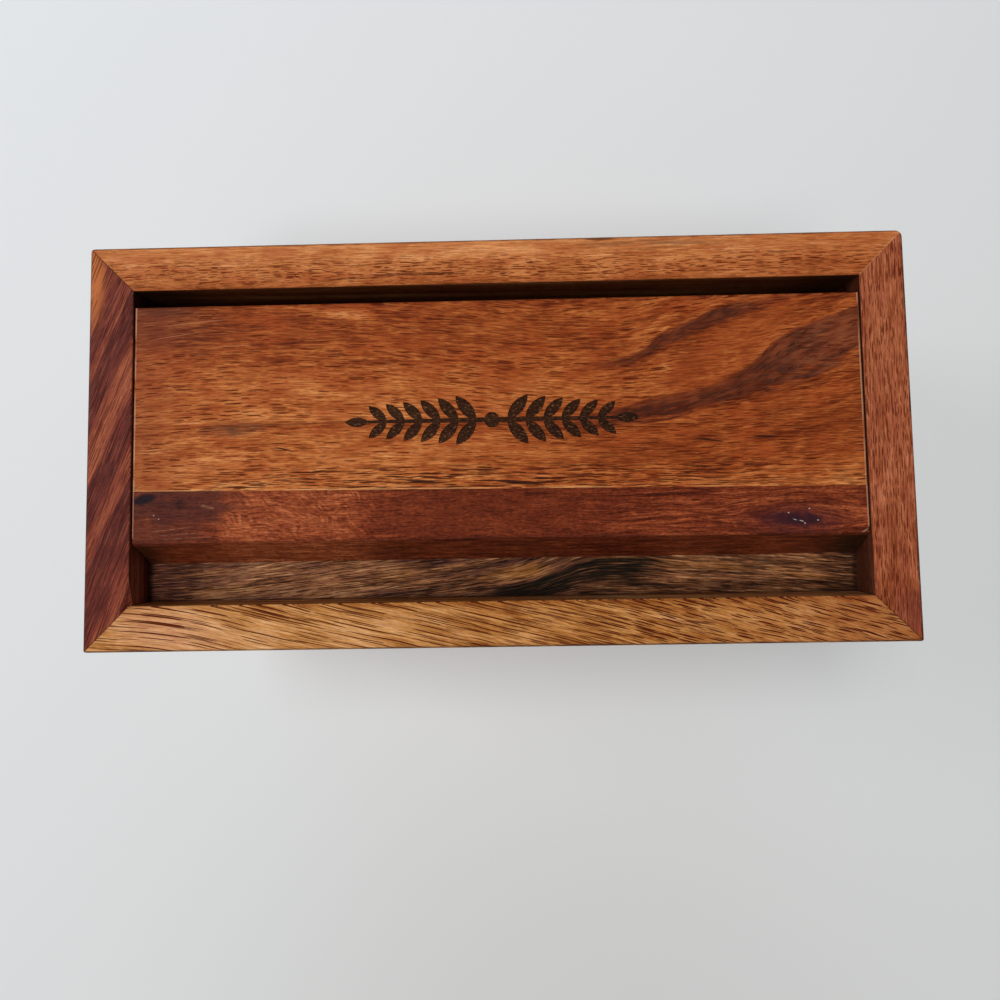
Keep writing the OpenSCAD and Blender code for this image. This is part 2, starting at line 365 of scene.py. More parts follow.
# Woods of the boards that the photograph doesn't show: stops from light to dark.
GOLDEN = ((0.05, "#d68f52"), (0.3, "#b56a31"), (0.5, "#985022"), (0.75, "#703310"), (0.95, "#411a08"))
RED = ((0.05, "#b55f30"), (0.3, "#91421e"), (0.5, "#7a3215"), (0.75, "#591f0c"), (0.95, "#300f06"))
DARK = ((0.05, "#9c563a"), (0.3, "#7f3c29"), (0.5, "#692c1e"), (0.75, "#4a1b12"), (0.95, "#280f0a"))
PALE = ((0.05, "#e0ab74"), (0.3, "#c28a52"), (0.5, "#a56632"), (0.75, "#7b4419"), (0.95, "#532808"))


def plain_wood(name, colours, along, lean, pith, dip, seed):
    """Wood of a board that the photograph doesn't show, cut beside a pith line that dips."""
    b = Board(name, along, lean, seed)
    b.wander(0.8)
    b.level = b.rings(pith, dip) - lean * b.along
    tone, hairs = tones(b, b.ring_bands() + 0.45)
    pores = b.pits(7.0, 0.85, 4, share=1.1, lean=lean + 0.02) * (b.crowds(7) * 0.6 + 0.4)
    fine = b.pits(3.4, 0.55, 5, lean=lean, thin=1.6)
    colour = tone.ramp(*colours).mixed(fine * 0.4, colours[-2][1]).mixed(pores * 0.75, colours[-1][1])
    return b.finish(colour, pores, hairs)


def lid_flow(b):
    """Bends the lid's grain: nearly straight at the left, and rising at the back right."""
    b.follow((
        (-10.6, ((-80, -10.2), (0, -10.6), (80, -11.3))),
        (-5.5, ((-80, -5.5), (0, -6.0), (35, -7.0), (60, -4.5), (80, -0.5))),
        (4.0, ((-80, 3.0), (-40, 4.3), (0, 3.4), (20, 3.2), (36, 4.2), (45, 6.5), (50, 7.8), (55, 9.2),
               (62, 11.2), (70, 13.5), (80, 18.2))),
        (8.0, ((-80, 5.0), (-40, 6.0), (0, 5.0), (20, 5.3), (30, 7.0), (38, 9.0), (48, 11.3), (52, 12.9),
               (56, 15.4), (60, 19.0), (63, 21.6), (70, 24.4), (80, 27.9))),
        (16.0, ((-80, 17.0), (0, 15.3), (15, 16.0), (28, 17.4), (33, 19.5), (37, 22.5), (43, 25.0),
                (50, 28.0), (60, 30.2), (66, 31.3), (80, 36.0))),
        (30.0, ((-80, 31.0), (0, 31.5), (20, 34.0), (40, 40.0), (60, 46.0), (80, 52.0))),
    ))


def lid_base(b, streaks):
    """The lid's tone by the level of the grain, at its left and at its right, and a few patches."""
    frayed = b.level + streaks * 2
    left = frayed.curve((-10.6, 0.24), (-9, 0.26), (-5, 0.29), (2, 0.37), (4, 0.44), (6, 0.35), (9, 0.32),
                        (14, 0.37), (18, 0.47), (24, 0.54), (31, 0.55))
    right = frayed.curve((-10.6, 0.28), (-8, 0.38), (-4, 0.53), (3.6, 0.53), (8.2, 0.45), (10, 0.51),
                         (14.6, 0.53), (16.6, 0.4), (20, 0.5), (31, 0.52))
    dark = b.patch((21, 22), (12, 4.5), -15, rim=1.1) * 0.12
    light = b.patch((37, 15.2), (4, 1.3), rim=1.1, core=0.2)
    light = light.most(b.patch((-33, 28.4), (8, 1.5), -3, rim=1.1, core=0.2))
    base = left + (right - left) * b.x.step(0, 45) + dark - light * 0.3
    base = base + b.x.band(-10, 32, 10) * 0.09 * b.y.step(12, 2) + b.x.step(30, 55) * 0.02
    return base - b.x.step(66, 76) * b.y.band(8, 26, 4) * 0.04


def lid_ribbons(b, streaks):
    """The lid's two dark ribbons, which rise to the right, and the darkest places in them."""
    upper = (b.level + streaks * 1.2).band(14.6, 16.2, 0.55)
    upper = upper * b.x.curve((16, 0.0), (25, 0.45), (33, 0.8), (40, 1.0), (50, 1.0), (57, 0.65), (68, 0.3))
    lower = (b.level + streaks).step(8.5, 7.6) * (b.level + streaks * 5.0).step(2.6, 5.0)
    lower = lower * b.x.curve((8, 0.0), (22, 0.45), (34, 0.9), (60, 1.0), (68, 0.8), (80, 0.65))
    cores = b.oval((46, 25.6), (4, 1.0), 28).least(b.oval((59.5, 13.3), (4.5, 1.1), 20))
    cores = cores.least(b.oval((69, 21.2), (6.5, 2.2), 12)).least(b.oval((46.5, 8.9), (5, 0.9), 8))
    cores = cores.least(b.oval((36.5, 6.0), (6, 1.1), 9)).step(1.2, 0.2)
    return upper, lower, cores


def lid_stains(b, colour, ribbons, streaks, threads):
    """The lid's colour with its red patches, the grey of the ribbons, the dark corner at the back
    left, and the smoky streak and the thin vein at the left of the sprig."""
    upper, lower, cores = ribbons
    blush = b.noise((9, 3.5, 4), 9).step(0.48, 0.68)
    colour = colour.mixed(blush * 0.4, "#9a421c")
    corner = b.patch((-78, 28), (21, 9), -8, rim=1.1, core=0.2)
    grey = (lower * (b.x.step(50, 70) * 0.2 + 0.5)).most(upper * 0.6)
    colour = colour.mixed(grey.most(cores * 0.5).most(corner * 0.5), "#522c1f")
    colour = colour.mixed(lower * b.x.step(56, 72) * (0.4 - threads * 0.35), "#824e38")
    colour = colour.mixed(b.patch((-76, 30.4), (13, 2.0), -4, rim=1.1) * 0.5, "#3c2420")
    smoke = b.patch((-58, 3.4), (10, 2.0), 3, rim=1.1) * (threads * 0.7 + 0.3)
    colour = colour.mixed(smoke * 0.85, "#573a29")
    vein = (b.y + streaks * 0.8 - 0.02 * b.x).band(5.0, 5.3, 0.2) * b.x.step(-4, -14) * b.x.step(-60, -50)
    return colour.mixed(vein * 0.65, "#43200f")


def lid_pores(b, colour, ribbons, flat):
    """The lid's colour with its pores, and the larger of these: few in the calm wood between the
    ribbons, long along the front edge, and short and dark in the ribbons."""
    upper, lower, cores = ribbons
    ribbon = lower.most(upper)
    crowds = b.crowds(7)
    calm = b.patch((50, 17.5), (17, 5.5), 32, core=0.6)
    colour = colour.mixed(calm * 0.4, "#97461f").mixed(b.x.step(-64, -80) * 0.4, "#7d3a21")
    pores = b.pits(5.5, 0.66, 4, share=1.2, across=flat, thin=1.8) * (crowds * 0.6 + 0.4) * (1 - calm * 0.5)
    fine = b.pits(3.2, 0.42, 5, share=1.15, lean=0.01, across=flat, thin=1.5) * (crowds * 0.4 + 0.6)
    flecks = b.pits(6.0, 0.7, 8, across=flat) * (1 - ribbon) * (1 - calm)
    low_edge = b.y.step(-4.6, -6.4) * (b.x.step(66, 44) * 0.45 + 0.55) * b.x.step(-70, -56)
    drawn = b.across + (b.noise((14, 4, 4), 35) - 0.5) * 1.6
    long_pores = b.pits(13.0, 0.75, 6, share=1.2, lean=-0.01, across=drawn, slim=0.38, thin=2.4)
    long_pores = long_pores.most(b.pits(6.5, 0.6, 16, share=1.2, lean=-0.03, across=drawn))
    long_pores = long_pores.most(b.noise((9, 0.24, 1.0), 36, across=drawn).step(0.62, 0.69)) * low_edge
    colour = colour.mixed(flecks * 0.2, "#dc9150").mixed(fine * 0.75, "#692405")
    colour = colour.mixed(pores * 0.9, "#551802").mixed(long_pores * 0.95, "#3a0e02")
    warm = b.noise((4.5, 1.1, 3), 50).step(0.52, 0.66) * ribbon
    colour = colour.mixed(warm * 0.35, "#8c4326")
    short = b.pits(2.8, 0.55, 18, share=0.95, lean=0.08, across=b.level, thin=1.6) * ribbon.most(cores)
    return colour.mixed(short * 0.75, "#2b120b"), pores.most(long_pores)


def lid_marks(b, colour):
    """The lid's colour with its dark dashes, its pale scratches, the pale line of the glue joint and
    the rubbed arrises at its ends."""
    dashes = b.spots((-16, -8.8, 5.5, 0.38, -6), (5, -9.4, 6.5, 0.42, -5), (46.5, -0.9, 3.2, 0.28, -8),
                     (58.5, -0.4, 3.4, 0.32, -2), (-46.5, -1.2, 2.4, 0.22, -14))
    colour = colour.mixed(dashes * 0.9, "#2a140e")
    scratches = b.spots((-66, 27.3, 9, 0.13, 5), (-71, 24.4, 6, 0.11, 8), (-58, 21.9, 6, 0.1, 3))
    colour = colour.mixed(scratches * 0.35, "#c98a66")
    joint = (b.y - JOINT_Y + b.x * JOINT_SLANT).step(0.5, 0.15) * b.noise((14, 2, 2), 25).step(0.4, 0.62)
    joint = joint * (b.x.step(62, 40) * 0.8 + 0.2)
    joint = joint.most((b.y + 10.25 + b.x * 0.003).band(0.0, 0.28, 0.12) * b.x.step(-62, -66) * 0.8)
    colour = colour.mixed(joint * 0.6, "#e0a66a")
    rubbed = 0.48
    ends = (abs(b.x) - (LID_END - rubbed)).part(0.0, 0.1) * b.face * b.noise((2, 5, 2), 41).step(0.3, 0.6)
    return colour.mixed(ends * 0.7, "#cf9c78")


def burnt_sprig(b, colour):
    """The lid's colour with the sprig burnt in: all that is sunk in the field round it."""
    sunk = 0.05
    burnt = (b.z - (LID_TOP_Z - sunk)).part(0.0, -sunk)
    burnt = burnt * (abs(b.y - SPRIG_Y) - SPRIG_HALF_D).part(0.0, -0.1)
    burnt = burnt * (abs(b.x - SPRIG_X) - SPRIG_HALF_W).part(0.0, -0.1) * b.deep.over(-1.5)
    ash = b.noise((0.7, 0.35, 0.4), 27, 2.0).ramp((0.35, "#140b07"), (0.58, "#2c1a10"), (0.72, "#6a4a2e"))
    return colour.mixed(burnt * 0.95, ash)


def lid_wood():
    """The lid's wide board: golden along the front, redder at the back, with two dark ribbons
    that rise to the right."""
    b = Board("lid_wood", seed=31.9, top=LID_FACE)
    lid_flow(b)
    streaks = b.noise((9, 0.5, 1.5), 21, 2.0, 0.6) - 0.5
    threads = b.noise((6, 0.42, 1.2), 22, 2.0, 0.6).step(0.4, 0.62)

    # On the left the fibres rise to the right, in the middle they fall, and they turn with the ribbons.
    waves = b.x.curve((-80, 0.7), (-62, 0.0), (-45, 0.1), (-10, 1.9), (20, 4.4), (45, 5.0))
    flat = b.across + (b.level - b.across) * 0.3 + waves * b.y.part(-6.0, 6.0)
    base = lid_base(b, streaks)
    tone, hairs = tones(b, base, 0.55, 0.35, 0.22, (9, 2.4), fine=0.8, drawn=0.95, fibres=flat)
    tone = tone + b.noise((11, 0.45, 1.0), 30, 2.0, 0.6, flat).step(0.55, 0.66) * 0.15
    tone = tone - b.noise((6, 0.5, 1.0), 33, 2.0, 0.6, flat).step(0.57, 0.7) * 0.06

    ribbons = lid_ribbons(b, streaks)
    upper, lower, cores = ribbons
    tone = tone + upper * (threads * 0.22 + 0.2) + cores * (threads * 0.18 + 0.1)
    tone = tone + lower * (threads * 0.34 + 0.12 + b.x.step(70, 56) * 0.11)
    glint = b.spots((72, 21.6, 2.2, 0.35, 8), (68, 19.4, 1.6, 0.25, 12))
    tone = tone - glint * 0.3
    colour = tone.ramp((0.04, "#dd9a5f"), (0.2, "#c47740"), (0.36, "#ab5d2c"), (0.5, "#94471e"),
                       (0.64, "#783415"), (0.8, "#57210c"), (0.96, "#2e1007"))
    colour = lid_stains(b, colour, ribbons, streaks, threads)
    colour, pores = lid_pores(b, colour, ribbons, flat)
    return b.finish(burnt_sprig(b, lid_marks(b, colour)), pores, hairs)


def strip_tone(b, curly):
    """The strip's tone, with curled fibres where it is curly, and its finest fibres. The middle is
    plain, and the sloping front edge is darker by a painted shade."""
    plain = b.x.band(-20, 22, 9)
    lower = 1 - b.face
    base = b.x.curve((-80, 0.56), (-64, 0.52), (-55, 0.38), (-35, 0.39), (-22, 0.59), (25, 0.61),
                     (40, 0.52), (80, 0.51))
    base = base + b.y.step(-19.6, -21) * 0.06 * b.face
    # Painted shade: the sloping front edge is made darker, as it faces away from the light above.
    base = base + lower * (b.x.step(-50, 20) * 0.05 + b.x.step(15, 60) * 0.06)
    rough = 1 - plain * b.face * 0.6
    tone, hairs = tones(b, base, 0.36, rough * 0.3, rough * 0.2, (6, 2.4), fine=0.8, drawn=1.2)
    turned = b.x * 0.5 + b.y * 0.87 + (b.noise((7, 5, 5), 13, across=b.across) - 0.5) * 7.0
    curls = b.noise((2.8, 0.5, 0.6), 14, 2.0, 0.65, turned).step(0.34, 0.66) - 0.5
    curls = curls * b.noise((4, 1.6, 2), 37, across=b.across).step(0.36, 0.6)
    grit = b.noise((0.8, 0.5, 0.5), 15) - 0.5
    flows = b.noise((12, 0.6, 1.2), 31, 2.0, 0.6) - 0.5
    flows = (1 - curly * b.face) * (1 - plain * b.face) * flows * (0.85 - b.x.step(-58, -66) * 0.55)
    return tone + curly * curls * 0.28 + grit * 0.3 + flows, hairs


def strip_left_end(b, colour):
    """The strip's colour with its left end: a dark stain with a black corner, which is painted shade of a
    chip there, and pale flecks.
    """
    stain = b.oval((-70, -13.2), (15, 5.2)) + (b.noise((4, 2, 2), 26, 2.0) - 0.5)
    colour = colour.mixed(stain.step(1.2, 0.5) * 0.7, "#43221f")
    colour = colour.mixed(b.patch((-76, -19.5), (15, 3.4)) * 0.6, "#55291f")
    colour = colour.mixed(b.patch((-69.5, -12.6), (2.2, 1.6), rim=1.1, core=0.2) * 0.55, "#201215")
    # Painted shade: the black corner stands in for a shaded chip.
    colour = colour.mixed(b.spots((-77.4, -11.7, 3.4, 1.25, 12)) * 0.92, "#15121a")
    flecks = b.spots((-63.2, -13.6, 1.9, 0.4, -12), (-64.5, -12.9, 1.0, 0.2, -30), (-70, -19.4, 7, 0.14, 3),
                     (-67, -20.2, 8, 0.12, 2), (-72, -18.4, 5, 0.12, 5))
    flecks = flecks * b.noise((1.2, 0.4, 1), 38, across=b.across).step(0.35, 0.6)
    return colour.mixed(flecks * 0.4, "#a5745a")


def strip_knot(b, colour, knot):
    """The strip's colour with the knot at its right end: rings, a dark heart and pale specks."""
    ragged = knot + (b.noise((5, 1.2, 2), 18, 2.0) - 0.5) * 0.25
    rings = b.noise((40, 0.45, 40), 17, across=ragged * 7.0).step(0.5, 0.6) * ragged.step(1.25, 0.8)
    rings = rings * b.noise((6, 1.5, 3), 19).step(0.4, 0.6)
    colour = colour.mixed(rings * 0.45, "#42170c").mixed(ragged.step(0.8, 0.25) * 0.5, "#4a2024")
    heart = b.oval((64.3, KNOT_Y), (7.2, 1.9), -2) + (b.noise((2.4, 0.7, 1), 28, 2.0, 0.6) - 0.5) * 1.6
    colour = colour.mixed(heart.step(1.05, 0.35) * 0.85, "#2b1820")
    specks = b.spots((62.7, -16.9, 0.22, 0.16, 0), (64.0, -18.4, 0.5, 0.1, -20),
                     (65.4, -18.7, 0.6, 0.12, -15), (67.2, -16.1, 0.25, 0.18, 30),
                     (68.9, -18.6, 0.25, 0.14, 0), (66.1, -19.2, 0.18, 0.18, 0),
                     (-75.1, -15.2, 0.18, 0.14, 0), (-74.0, -16.0, 0.2, 0.14, 20))
    return colour.mixed(specks * 0.75, "#c0b2aa")


def strip_edges(b, colour):
    """The strip's colour with painted shade at the ends of its sloping edge, a pale rubbed corner at
    the right and the rubbed arrises at its ends."""
    # Painted shade: the sloping edge goes near black towards both ends, beside the walls.
    shaded = (b.x.step(66, 78) * 0.88).most(b.x.step(-72, -79) * 0.7) * (1 - b.face) * b.y.step(-21.6, -22.2)
    colour = colour.mixed(shaded, "#1c160c")
    colour = colour.mixed(b.spots((78.5, -21.3, 1.5, 0.24, 38)) * 0.55, "#a48f7b")
    rubbed = 0.4
    ends = (abs(b.x) - (LID_END - rubbed)).part(0.0, 0.1) * b.face * b.y.step(-20.6, -19.5)
    return colour.mixed(ends * (b.x.over(0.0) * 0.3 + 0.6), "#c9977c")


def strip_wood():
    """The lid's front strip: a knot at each end, curly beside the left one, plain in the middle."""
    b = Board("strip_wood", seed=33.5, top=LID_FACE)
    knot = b.oval((KNOT_X, KNOT_Y), (19, 5.5))
    b.level = b.level - (b.y - KNOT_Y) * knot.step(1.2, 0.1) * 0.6 + (b.noise((9, 4, 4), 12) - 0.5) * 1.6
    curly = b.x.step(-18, -34) * b.x.step(-64, -56)
    tone, hairs = strip_tone(b, curly)
    colour = tone.ramp((0.12, "#bb6b42"), (0.36, "#924626"), (0.56, "#6e2e18"), (0.76, "#4f1c0e"),
                       (0.95, "#2a0f08"))
    pores = b.pits(4.0, 0.6, 4, across=b.level, thin=1.8)
    pores = pores.most(b.pits(2.0, 0.4, 5, share=0.9, lean=0.03, thin=1.4) * 0.7)
    colour = colour.mixed(pores * (0.75 - curly * 0.35), "#481503")
    dashes = b.spots((9, -11.9, 4.5, 0.2, 0), (40, -12.2, 7, 0.28, 1), (28, -12.6, 3, 0.18, 2),
                     (52, -14.6, 5, 0.2, 12), (48, -17.2, 6, 0.16, -4), (-12, -12.6, 4, 0.16, 2))
    colour = colour.mixed(dashes * 0.6, "#32100a")
    colour = strip_knot(b, strip_left_end(b, colour), knot)
    return b.finish(strip_edges(b, colour), pores, hairs)


def floor_flow(b):
    """Bends the grain of the groove's floor: rising to the right, and falling again past the figure."""
    b.follow((
        (-39.0, ((-80, -47.5), (-60, -46.2), (-40, -43.8), (-20, -41), (0, -38), (20, -37), (80, -39))),
        (-31.0, ((-80, -40.2), (-60, -38.9), (-40, -36.8), (-20, -34.8), (0, -32.5), (6, -31.6), (11, -29.9),
                 (15, -28.2), (20, -26.7), (25, -26.1), (31, -26.2), (40, -27.3), (60, -28.8), (80, -31))),
        (-23.0, ((-80, -31.5), (-60, -30.3), (-40, -28.2), (-20, -26.4), (0, -24), (20, -20), (80, -22))),
        (-12.0, ((-80, -20.5), (-60, -19.3), (-40, -17.2), (0, -13), (80, -11))),
    ))


def floor_figure(b, drift):
    """1 on the black figure in the middle of the groove's floor, which is shredded at its foot and
    has lighter strands in it."""
    streaks = b.noise((9, 0.42, 1.0), 22, 2.0, 0.6) - 0.5
    top = (b.level + streaks * 0.7).step(-31.0, -31.5)
    foot = b.x.curve((-6, -37), (9, -36), (14, -33.6), (20, -32.4), (28, -31.2), (34, -30.4), (52, -30.0))
    foot = (b.y + streaks * 7.0 - foot).step(-1.0, 1.4)
    shreds = b.patch((18, -32.2), (22, 2.6), rim=1.1, core=0.2) * streaks.step(-0.06, 0.1)
    slivers = b.pits(12.0, 0.6, 6, share=1.1, across=drift, slim=0.5, thin=1.6)
    shreds = shreds.most(slivers * b.patch((22, -31.5), (26, 3.4), rim=1.1, core=0.5))
    fade = b.x.step(-4, 1) * (b.x + streaks * 20).step(41, 30)
    strands = b.noise((11, 0.26, 1.0), 39, across=drift).step(0.56, 0.66)
    return top * fade * foot.most(shreds * 0.9) * (1 - strands * 0.6)


def floor_wood():
    """The groove's floor: grey-tan with a black figure in the middle."""
    b = Board("ledge_wood", seed=29.3, top=FLOOR_FACE)
    floor_flow(b)
    # Painted shade: the floor darkens towards both ends of the groove, where the walls shade it.
    ends = b.x.step(-60, -77).most(b.x.step(68, 79))
    gold = b.patch((4, -29.3), (9, 2.0), 5)
    light = b.oval((46, -28.4), (14, 1.2), -4).least(b.oval((68, -30.6), (9, 1.1), -9))
    light = light.least(b.oval((-22.5, -29.4), (5.5, 1.8), 8)).least(b.oval((-62, -33), (7, 1.8), 5))
    light = light.step(1.2, 0.3)
    dusk = b.oval((71, -33.4), (10, 1.2), -4).least(b.oval((-20, -33.6), (10, 0.7), 3)).step(1.2, 0.3)
    base = b.x.curve((-80, 0.44), (-40, 0.43), (-15, 0.575), (20, 0.6), (80, 0.51))
    base = base + ends * 0.2 - gold * 0.1 - light * 0.14 + dusk * 0.14
    tone, hairs = tones(b, base, 0.7, 0.6, 0.3, (14, 1.8), fine=0.5, drawn=2.4)
    tone = tone + (b.noise((24, 0.5, 1.0), 34, 2.0, 0.6) - 0.5) * (b.x.step(20, 45) * 0.45 + 0.15)
    tone = tone + (b.noise((3.0, 0.24, 0.5), 49, 1.0, 0.6) - 0.5) * 0.5
    colour = tone.ramp((0.08, "#c19267"), (0.28, "#9c6a46"), (0.46, "#784a2e"), (0.64, "#50301d"),
                       (0.82, "#2e1a13"), (0.96, "#130c0a"))
    colour = colour.mixed(gold.most(light * 0.5) * 0.45, "#8e5a1c")
    purple = b.noise((10, 1.6, 3), 9).step(0.45, 0.65) * b.x.step(40, -10)
    colour = colour.mixed(purple.most(b.x.step(-66, -76)) * 0.4, "#4e2c2a")

    drift = b.level + (b.noise((12, 4, 4), 8) - 0.5) * 0.8
    light_lines = b.pits(6.0, 0.6, 9, share=1.1, across=drift, thin=2.6)
    colour = colour.mixed(light_lines * 0.3, "#b08868")
    pores = b.pits(9.0, 0.62, 4, share=1.25, across=drift, thin=2.6)
    pores = pores.most(b.pits(5.0, 0.45, 5, share=1.2, across=drift, thin=2.2))
    colour = colour.mixed(pores * (0.85 - b.x.step(20, 45) * 0.2), "#210b07")
    colour = colour.mixed(floor_figure(b, drift) * 0.93, "#0d0e0a")
    # Painted shade in the creases along the front wall and at both ends of the floor.
    crease_shade = (b.y + INNER_D).step(0.45, 0.1).most(abs(b.x).step(INNER_W - 1.5, INNER_W - 0.3))
    return b.finish(colour.mixed(crease_shade * 0.7, "#160c08"), pores, hairs)


def front_wood():
    """The front rim: pale and golden, with long thin pores that run down to the right."""
    b = Board("front_top_wood", seed=3.1)
    slope = b.along.curve((-90, 0), (-72, 1.6), (-50, 6.5), (0, 18.5), (50, 31), (90, 42))
    drift = b.across + (slope + (b.noise((26, 5, 6), 12) - 0.5) * 1.2) * b.face
    b.level = drift
    base = b.x.curve((-90, 0.4), (-60, 0.32), (-20, 0.37), (0, 0.42), (50, 0.44), (90, 0.45))
    # Painted shade: the rim's top darkens towards its inner edge beside the groove.
    base = b.below(base + b.y.step(-36.4, -35.2) * 0.1, (-22, -62), 0.04)
    tone, hairs = tones(b, base, 0.5, 0.34, 0.18, (12, 3.0), fine=0.8, drawn=1.6)
    colour = tone.ramp((0.06, "#eabc8e"), (0.24, "#d39962"), (0.42, "#b2763c"), (0.6, "#8c4e1d"),
                       (0.9, "#572609"))
    pink = b.patch((-72, -40), (16, 6), -10, core=0.2)
    colour = colour.mixed(pink * b.face * 0.3, "#dca082").mixed(b.x.step(35, 85) * 0.4, "#97502f")

    # The pores are long at the left and shorter at the right.
    long_pores = b.pits(24.0, 0.95, 4, share=1.42, across=drift, thin=3.1)
    long_pores = long_pores.most(b.pits(12.0, 0.8, 14, share=1.25, across=drift, thin=2.8)) * b.x.step(60, 0)
    short_pores = b.pits(9.0, 0.8, 5, share=1.35, across=drift, thin=2.3)
    short_pores = short_pores.most(b.pits(5.5, 0.62, 15, share=1.25, across=drift, thin=1.9))
    short_pores = short_pores * (b.x.step(-30, 40) * 0.8 + 0.2)
    colour = colour.mixed(long_pores, "#5a1f01").mixed(short_pores, "#501300")
    cluster = b.patch((41, -40), (9, 2.6), -15) * b.noise((4, 0.4, 1), 23).step(0.45, 0.6) * b.face
    streaks = b.noise((14, 0.5, 1), 24, 2.0, 0.6, drift).step(0.54, 0.68) * b.x.step(30, 60) * b.face
    colour = colour.mixed(cluster.most(streaks * 0.8) * 0.6, "#5a1e0e")
    colour = colour.mixed(b.mitre() * 0.6, "#2c140a")
    return b.finish(b.shade_outer_arris(colour), long_pores.most(short_pores), hairs)


def back_wood():
    """The back rim: orange-brown, lighter at the outer edge, with fine dark pores."""
    b = Board("back_top_wood", seed=13.6)
    b.wander(0.3)
    base = b.y.curve((INNER_D, 0.53), (36.5, 0.44), (39.5, 0.38), (41.5, 0.33), (HALF_D, 0.29))
    base = base - b.patch((-3, 42), (28, 3), rim=1.1, core=0.2) * 0.1 + b.x.step(50, 80) * 0.06
    base = b.below(base, (18, 42), -0.04)
    tone, hairs = tones(b, base, 0.5, 0.4, 0.2, (9, 2.6), fine=0.8, drawn=1.3)
    colour = tone.ramp((0.06, "#e3a16b"), (0.26, "#c97f4a"), (0.46, "#ab6030"), (0.64, "#88441c"),
                       (0.9, "#4c1f0a"))
    blush = b.noise((9, 3.0, 4), 9).step(0.46, 0.66).most(b.x.step(45, 80) * 0.6)
    colour = colour.mixed(blush * 0.4, "#a9542c")
    grey = b.patch((34, 42.6), (20, 1.4), rim=1.1) * b.noise((9, 0.6, 1), 22).step(0.4, 0.6) * b.face
    colour = colour.mixed(grey * 0.55, "#6b4a30")

    # The pores crowd along the rim's inner half.
    crowds = b.y.band(35.2, 40.4, 2.2) * (b.crowds(7, 0.3, 0.55) * 0.55 + 0.35) + 0.25
    crowds = crowds.most((1 - b.face) * 0.6)
    pores = b.pits(5.0, 0.6, 4, share=1.2, lean=-0.01, thin=1.7)
    pores = pores.most(b.pits(2.8, 0.45, 5, share=1.15, thin=1.5)) * crowds
    colour = colour.mixed(pores * 0.9, "#6c2603")
    dashes = b.spots((-17, 37.1, 13, 0.4, 0), (-30, 36.4, 9, 0.25, 1), (63, 40.2, 2.5, 0.3, 0))
    colour = colour.mixed(dashes * 0.55, "#4a2010")
    colour = colour.mixed(b.spots((23.5, 44.2, 4, 0.7, 0)) * 0.7, "#3f1f10")
    colour = colour.mixed(b.mitre() * 0.6 * b.x.step(60, 50), "#2c140a")
    colour = colour.mixed(b.mitre(0.12) * 0.5 * b.x.step(50, 60), "#d8a672")
    # Painted shade on the inner face below the rim, in the gap behind the lid, deepest towards the corners.
    inner = b.y.step(INNER_D + 0.3, INNER_D + 0.1) * (1 - b.face)
    colour = colour.mixed(inner * (abs(b.x).step(58, 78) * 0.3 + 0.6), "#20120e")
    return b.finish(b.shade_outer_arris(colour), pores, hairs)


def left_wood():
    """The left rim: dark and orange bands that cross it at a slant."""
    lean = 0.42
    b = Board("left_top_wood", "y", lean=lean, seed=19.5)
    b.wander(0.4)
    drift = b.across - 0.36 * b.along * b.face
    middle = HALF_W - 5.0
    slant = (b.level + middle + (b.noise((10, 0.7, 2), 21, 2.0) - 0.5) * 1.6) * (-1 / lean)
    base = slant.curve((-60, 0.5), (-42, 0.48), (-33, 0.56), (-24, 0.68), (-18, 0.62), (-14, 0.42),
                       (-10, 0.48), (-5, 0.68), (0, 0.64), (3, 0.38), (9, 0.34), (13, 0.42), (16, 0.66),
                       (24, 0.68), (26, 0.4), (29, 0.56), (37, 0.5), (60, 0.42))
    base = b.below(base + 0.02, (-62, -66), 0.06)
    tone, hairs = tones(b, base, 0.4, 0.4, 0.16, (10, 2.0), fine=0.8, drawn=1.6)
    colour = tone.ramp((0.08, "#c07052"), (0.34, "#975034"), (0.54, "#743327"), (0.72, "#55241e"),
                       (0.95, "#321212"))
    orange = b.patch((-89.8, 37.5), (3.6, 12), core=0.4) * b.face
    colour = colour.mixed(orange * 0.65, "#c8743a")
    pores = b.pits(13.0, 0.85, 4, share=1.2, across=drift, thin=2.4)
    pores = pores.most(b.pits(5.5, 0.6, 5, share=1.1, across=drift) * 0.8)
    flecks = b.pits(9.0, 0.7, 8, across=drift)
    colour = colour.mixed(flecks * 0.22, "#b8704a").mixed(pores * 0.65, "#42120a")
    # Painted shade on the inner face below the rim, towards the back.
    inner = b.x.step(-INNER_W - 0.4, -INNER_W - 0.2) * (1 - b.face) * b.y.step(20, 30)
    colour = colour.mixed(inner * 0.75, "#20120e")
    colour = colour.mixed(b.mitre() * 0.6, "#2c140a")
    return b.finish(b.shade_outer_arris(colour), pores, hairs)


